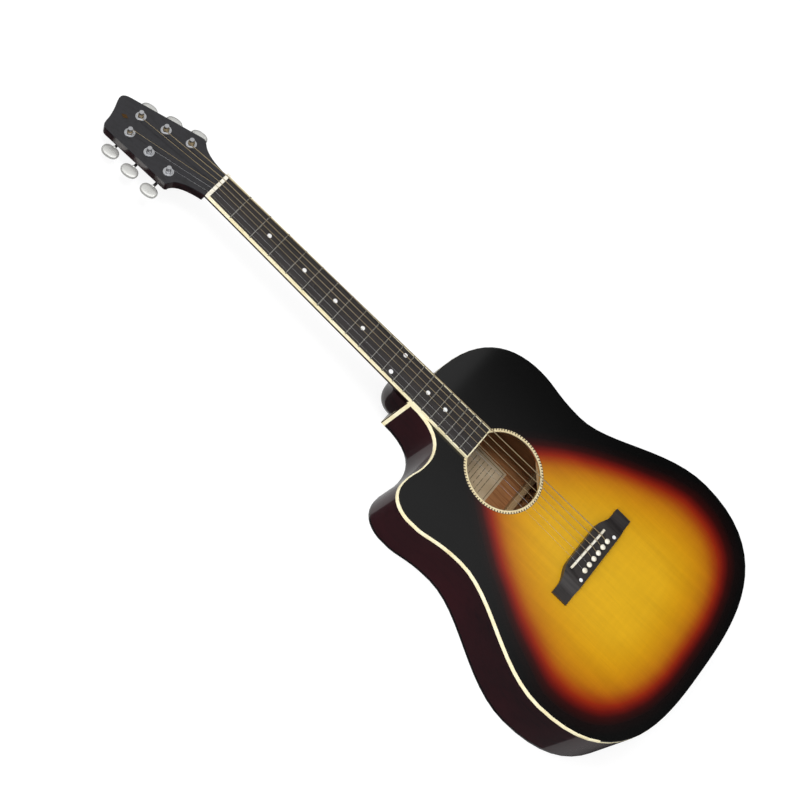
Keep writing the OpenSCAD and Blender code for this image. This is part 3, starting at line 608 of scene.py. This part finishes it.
def build_bindings():
    """Bindings with rounded edges. The lacquer covers the top face of the top binding, except along the
    cutaway and the thin-string side, where the cream shows."""
    r, tail_faces = 0.5, 13
    top = [(0, -BINDING_H), (0, -r), (0.3 * r, -0.3 * r), (r, 0), (BINDING_W, 0), (BINDING_W, -BINDING_H)]
    low = [(0, ("back", BINDING_H)), (0, ("back", r)), (0.3 * r, ("back", 0.3 * r)), (r, ("back", 0)),
           (BINDING_W, ("back", 0)), (BINDING_W, ("back", BINDING_H))]
    lacquered, cream_rows = (2, 3), range(SHOULDER_AT, len(OUTLINE) - tail_faces)
    for node, section, mat, slot in (("top_binding", top, "cream", "cream_trim"),
                                     ("back_binding", low, "black", "black_trim")):
        verts, faces = loft(outline_rings(section, range(len(OUTLINE))), wrap=True)
        count = len(section)
        paint = [1 if mat == "cream" and i // count not in cream_rows and i % count in lacquered else 0
                 for i in range(len(faces))]
        place(mesh_object(node + "_strip", verts, faces, TOP, 50, paint), "guitar",
               (MAT[mat], MAT["sunburst"]), [node])


def build_cutaway_corner():
    """Cream strip down the corner where the cutaway side meets the heel, its outer edge rounded over."""
    proud, width, r = 0.15, 6.4, 2.2
    x0, x1 = CUTAWAY_X - proud, CUTAWAY_X + BINDING_W
    y0, y1 = SHOULDER_Y - width, SHOULDER_Y + proud
    plan = [(x0, y0), (x1, y0), (x1, y1)]
    plan += [(x0 + r - r * math.sin(a), y1 - r + r * math.cos(a))
             for a in (math.pi / 2 * k / 6 for k in range(7))]
    rings = [[(x, y, back_z(y, 0.1)) for x, y in plan], [(x, y, -BINDING_H + 0.2) for x, y in plan]]
    verts, faces = loft(rings)
    place(mesh_object("cutaway_corner", verts, faces, TOP, 50), "guitar", MAT["cream"],
           ["cutaway_strip"])


# ---------------------------------------------------------------- neck
def d_section(half, depth, y):
    """One ring across the neck, flat on top."""
    steps = 36
    return [(half * math.cos(t), y, -depth * math.sin(t) ** 0.85)
            for t in (math.pi * i / steps for i in range(steps + 1))]


def build_neck_shaft():
    """The neck from the body to the head, wider and deeper towards the body."""
    rows, start = 24, SHOULDER_Y + 0.01
    rings = []
    for i in range(rows + 1):
        y = start + (HEAD_Y - start) * i / rows
        depth = NECK_DEPTH_BODY + (NECK_DEPTH_NUT - NECK_DEPTH_BODY) * i / rows
        rings.append(d_section(board_half_w(min(y, SCALE_LENGTH)), depth, y))
    verts, faces = loft(rings)
    place(mesh_object("neck_shaft_wood", verts, faces, TOP, 40), "guitar", MAT["neck"],
           ["neck_shaft"])


def heel_ring(z, half, reach):
    """One level ring of the heel, flat against the body."""
    steps = 44
    return [(half * math.cos(t), SHOULDER_Y + reach * math.sin(t) ** 0.8, z)
            for t in (math.pi * i / steps for i in range(steps + 1))]


def build_heel():
    """Carved heel: a full curve from the rounded toe up, which sweeps out into the underside of the neck."""
    top_z, drop, lowest, foot, rows = -11.0, 78.5, 0.99, 3.2, 44
    half, reach, flare = 25.2, 31.9, 11.1
    rings = []
    for j in range(rows + 1):
        part = lowest * (1 - (1 - j / rows) ** 1.5)
        out = reach * (1 - part ** 4.4) ** 0.63 + flare * (1 - part) ** 8
        rings.append(heel_ring(top_z - drop * part, half * (1 - part ** 2.5) ** 0.53, out))
    rings = [[(x, y, max(z, back_z(y, foot))) for x, y, z in ring] for ring in rings]
    verts, faces = loft(rings)
    place(mesh_object("neck_heel_wood", verts, faces, TOP, 50), "guitar", MAT["neck"],
           ["neck_heel"])


# ---------------------------------------------------------------- strings
def tube(points, radius):
    """A round tube along points, as rings."""
    sides = 12
    rings = []
    pts = [Vector(p) for p in points]
    for i, p in enumerate(pts):
        ahead = (pts[min(i + 1, len(pts) - 1)] - p)
        behind = (p - pts[max(i - 1, 0)])
        axis = ((ahead.normalized() if ahead.length else Vector())
                + (behind.normalized() if behind.length else Vector())).normalized()
        out = axis.cross(Vector((1, 0, 0))).normalized()
        over = axis.cross(out)
        rings.append([tuple(p + radius * (out * math.cos(a) + over * math.sin(a)))
                      for a in (2 * math.pi * k / sides for k in range(sides))])
    return rings


def from_head(x, y, z):
    """A point of the head's frame in the soundboard frame."""
    c, s = math.cos(HEAD_ANGLE), math.sin(HEAD_ANGLE)
    return x, HEAD_Y + y * c + z * s, HEAD_Z - y * s + z * c


def string_route(n):
    """From under the bridge, out of the pin's groove, over the saddle and the nut to the side of the post."""
    r = STRING_D[n - 1] / 2
    px, nx = spread(PIN_SPREAD, n), spread(NUT_SPREAD, n)
    under, bridge_top, bend, post_gap, post_z = -7, 9.1, 1.2, 0.15, 5
    crest_half, crest_fall, clear = 1.5, 0.1, 0.08
    crest = SADDLE_Y + SADDLE_SLANT * px
    nut_z = BOARD_T - crown_drop(nx) + FRET_H + STRING_GAP_NUT + r
    saddle_z = SADDLE_TOP - crown_drop(px) + r + clear
    x, y = post_xy(n)
    inner = x - side_of(n) * (POST_R + r + post_gap)
    return [(px, PIN_GROOVE_Y, under), (px, PIN_GROOVE_Y, bridge_top + r),
            (px, PIN_GROOVE_Y + bend, bridge_top + 0.35 + r),
            (px, crest - crest_half, saddle_z - crest_fall), (px, crest + crest_half, saddle_z),
            (nx, SCALE_LENGTH, nut_z), (nx, HEAD_Y + 0.3, nut_z), from_head(inner, y, post_z)]


def build_strings():
    """The six strings with their ball ends, which lie across the string under the bridge."""
    ball_r, ball_half, ball_z = 1.9, 1.8, -8.2
    for n in range(1, 7):
        verts, faces = loft(tube(string_route(n), STRING_D[n - 1] / 2))
        px = spread(PIN_SPREAD, n)
        ball = [[(px + dx, PIN_GROOVE_Y + ball_r * math.cos(a), ball_z + ball_r * math.sin(a))
                 for a in (2 * math.pi * k / 20 for k in range(20))] for dx in (-ball_half, ball_half)]
        more, more_faces = loft(ball)
        faces += [tuple(len(verts) + k for k in f) for f in more_faces]
        kind = "plain_string" if n < 3 else "wound_string"
        place(mesh_object(f"string_{n}_wire", verts + more, faces, TOP, 60), "guitar", MAT[kind],
               [f"string_{n}"])


def build_windings():
    """Turns of string round each post, which ride the post and follow the dip in its middle."""
    sides, steps_a_turn, gap, middle_z = 8, 20, 0.05, 5.0
    dip, dip_z, dip_half = 0.5, 6.0, 1.6
    for n in range(1, 7):
        r = STRING_D[n - 1] / 2
        x, y = post_xy(n)
        turns = 4.0 if n < 3 else 3.0
        pitch = 2 * r + 0.04
        steps = int(turns * steps_a_turn)
        start = math.pi if side_of(n) > 0 else 0.0
        rings = []
        for j in range(steps + 1):
            a = start + side_of(n) * 2 * math.pi * j / steps_a_turn
            zc = middle_z - pitch * (j / steps_a_turn - turns * 0.35)
            out = (math.cos(a), math.sin(a))
            neck = POST_R + r + gap - dip * max(0.0, 1 - abs(zc - dip_z) / dip_half)
            rings.append([(x + out[0] * (neck + r * math.cos(b)), y + out[1] * (neck + r * math.cos(b)),
                           zc + r * math.sin(b)) for b in (2 * math.pi * k / sides for k in range(sides))])
        verts, faces = loft(rings)
        kind = "plain_string" if n < 3 else "wound_string"
        place(mesh_object(f"string_{n}_turns", verts, faces, HEAD, 60), f"post_{n}", MAT[kind])


# ---------------------------------------------------------------- tuners
def kidney_outline(half_x, half_y):
    """Fat oval with a shallow waist where the shaft goes in, on the -X side."""
    steps = 72
    out = []
    for k in range(steps):
        a = 2 * math.pi * k / steps
        x = half_x * math.copysign(abs(math.cos(a)) ** 0.85, math.cos(a))
        y = half_y * math.copysign(abs(math.sin(a)) ** 0.9, math.sin(a))
        waist = math.exp(-(y / 3.6) ** 2) if x < 0 else 0.0
        out.append((x + waist, y))
    return out


def build_buttons():
    """Kidney buttons with softly crowned faces, and a collar where the shaft goes in. The profile gives
    heights with what is left of the outline there, as parts; the collar gives x from the post with radii."""
    centre, half_x, half_y, half_t = 27.3, 8.5, 12.2, 3.2
    outline = kidney_outline(half_x, half_y)
    profile = [(0.0, 1.0), (0.35, 0.995), (0.60, 0.97), (0.80, 0.92), (0.90, 0.82), (0.96, 0.62),
               (0.99, 0.35)]
    collar = [(18.3, 2.2), (18.6, 2.9), (20.4, 2.9), (21.6, 1.5)]
    rows = [(-z, grow) for z, grow in reversed(profile[1:])] + profile
    for n in range(1, 7):
        px, py = post_xy(n)
        side = side_of(n)
        rings = [[(px + side * (centre + x * grow), py + WORM_Y + y * grow, WORM_Z + half_t * z)
                  for x, y in outline] for z, grow in rows]
        verts, faces = loft(rings)
        turned = [[(px + side * dx, py + WORM_Y + r * math.cos(a), WORM_Z + r * math.sin(a))
                   for a in (2 * math.pi * k / 24 for k in range(24))] for dx, r in collar]
        more, more_faces = loft(turned)
        faces += [tuple(len(verts) + k for k in f) for f in more_faces]
        place(mesh_object(f"tuner_{n}_kidney", verts + more, faces, HEAD, 50), f"knob_{n}", MAT["button"],
               [f"tuner_{n}_button"])


# ---------------------------------------------------------------- CAD nodes that keep their own mesh
KEPT = {
    "soundboard": "sunburst", "back": "back", "neck_block": "inner", "tail_block": "inner",
    "top_lining": "inner", "back_lining": "inner", "rosette": "rosette", "top_braces": "inner_cross",
    "bridge_plate": "inner_cross", "back_braces": "inner_cross", "paper_label": "label",
    "bridge": "dark", "saddle": "bone", "bridge_pins": "bone", "pearl_dots": "pearl",
    "headstock": "neck", "heel_cap": "black", "headstock_veneer": "face", "headstock_inlay": "gold",
    "fingerboard": "dark", "fingerboard_binding": "cream", "frets": "fret", "nut": "bone",
    "truss_rod": "steel", "truss_rod_nut": "steel", "tuner_housings": "chrome",
    "tuner_covers": "chrome", "tuner_bushings": "chrome", "tuner_screws": "chrome",
}


def dress_cad_nodes():
    """Gives the CAD nodes that stay in view their materials, and rounds the edges of a few."""
    for n in range(1, 7):
        KEPT[f"tuner_{n}_post"] = "chrome"
        KEPT[f"tuner_{n}_worm"] = "chrome"
    for node, mat in KEPT.items():
        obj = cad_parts[node]
        obj.data.materials.clear()
        obj.data.materials.append(MAT[mat])
    for node, width_mm in (("bridge", 0.8), ("nut", 0.4), ("headstock_veneer", 0.35),
                           ("tuner_housings", 0.5), ("tuner_covers", 0.4)):
        soften_cad(node, width_mm)


# ---------------------------------------------------------------- stage, light, camera
def build_stage():
    """A wide pale floor just under the guitar's back."""
    half, below = 9000, 0.3
    corners = [(-half, -half, 0), (half, -half, 0), (half, half, 0), (-half, half, 0)]
    floor = mesh_object("floor", corners, [(0, 1, 2, 3)], Matrix.Translation((0, 0, -below * MM)))
    floor.data.materials.append(make_floor())
    floor.visible_glossy = False


def area_light(name, at, target, size, power):
    """A softbox lamp that does not show in reflections; metres and watts."""
    data = bpy.data.lights.new(name, "AREA")
    data.shape = "RECTANGLE"
    data.size, data.size_y = size
    data.energy = power
    light = bpy.data.objects.new(name, data)
    light.location = at
    light.rotation_euler = (Vector(target) - Vector(at)).to_track_quat("-Z", "Y").to_euler()
    light.visible_glossy = False
    bpy.context.scene.collection.objects.link(light)


def make_card_light(name, level, fades):
    """Softbox face. Each fade is an axis, where along it the light is full and where it has died away."""
    s = Shader(name)
    s.tree.nodes.remove(s.bsdf)
    emit = s.tree.nodes.new("ShaderNodeEmission")
    cloud = s.span(s.noise(0.8, detail=1.0), 0.3, 0.7, 0.94, 1.0)
    for axis, full, dead in fades:
        rise = s.span(s.x if axis == "x" else s.y, min(full, dead), max(full, dead), smooth=True)
        cloud = s.math("MULTIPLY", cloud, rise if full > dead else s.math("SUBTRACT", 1.0, rise))
    s.join(s.math("MULTIPLY", cloud, level), emit.inputs["Strength"])
    s.join(emit.outputs[0], s.out.inputs[0])
    return s.material


def card(name, height, corners, level, fades=()):
    """A softbox at one height that is seen only in reflections; all in metres in the world."""
    points = [(x / MM, y / MM, height / MM) for x, y in corners]
    obj = mesh_object(name, points, [tuple(range(len(points)))], Matrix.Identity(4))
    obj.data.materials.append(make_card_light(name, level, fades))
    obj.visible_camera = obj.visible_diffuse = obj.visible_shadow = obj.visible_transmission = False


def build_light():
    """A soft key from above, a fill from the thin-string side and an even sky, which is dim in reflections.
    The cards are what the glossy surfaces show: each has its height, corners, level and fades."""
    world = bpy.data.worlds.new("studio")
    bpy.context.scene.world = world
    world.use_nodes = True
    tree = world.node_tree
    tree.nodes.clear()
    out = tree.nodes.new("ShaderNodeOutputWorld")
    paths = tree.nodes.new("ShaderNodeLightPath")
    pick = tree.nodes.new("ShaderNodeMixShader")
    tree.links.new(paths.outputs["Is Glossy Ray"], pick.inputs[0])
    for socket, level in ((pick.inputs[1], 0.5), (pick.inputs[2], 0.02)):
        sky = tree.nodes.new("ShaderNodeBackground")
        sky.inputs["Color"].default_value = (1.0, 1.0, 1.0, 1.0)
        sky.inputs["Strength"].default_value = level
        tree.links.new(sky.outputs[0], socket)
    tree.links.new(pick.outputs[0], out.inputs[0])
    area_light("key_light", (-0.25, 0.95, 3.0), (0.0, 0.1, 0.1), (1.2, 1.2), 40.0)
    area_light("side_light", (-3.0, 0.9, 1.3), (0.0, 0.15, 0.05), (1.6, 1.6), 60.0)
    high, low = 1.6, -1.0
    card("metal_card", high, [(-3, -2), (0.45, -2), (0.45, 3), (-3, 3)], 1.0)
    card("sheen_card", high, [(0.45, -0.55), (1.25, -0.55), (1.25, 0.12), (0.45, 0.12)], 0.37,
         (("x", 0.72, 1.2), ("y", -0.12, -0.5)))
    card("neck_card", high, [(0.45, 0.12), (1.3, 0.12), (3, 0.9), (3, 3), (0.45, 3)], 0.55)
    card("low_card", low, [(0.15, -0.35), (3, -0.35), (3, 3), (-0.2, 3), (-0.2, 0.6), (0.15, 0)], 0.38)
    card("tail_card", low, [(-0.4, -2), (0.6, -2), (0.6, -0.35), (-0.4, -0.35)], 0.22, (("x", -0.3, 0.5),))


def build_camera():
    """The view and the lens that the frets' spacing gives."""
    data = bpy.data.cameras.new("camera")
    data.lens = 97.82
    data.sensor_width = 36.0
    data.clip_start, data.clip_end = 0.05, 60.0
    camera = bpy.data.objects.new("camera", data)
    camera.location = (-1.4234, 0.6140, 2.4179)
    camera.rotation_euler = tuple(math.radians(a) for a in (18.672, -25.774, -50.563))
    bpy.context.scene.collection.objects.link(camera)
    bpy.context.scene.camera = camera
    bpy.context.scene.view_settings.view_transform = "Standard"


build_sides()
build_bindings()
build_cutaway_corner()
build_neck_shaft()
build_heel()
build_strings()
build_windings()
build_buttons()
dress_cad_nodes()
build_stage()
build_light()
build_camera()
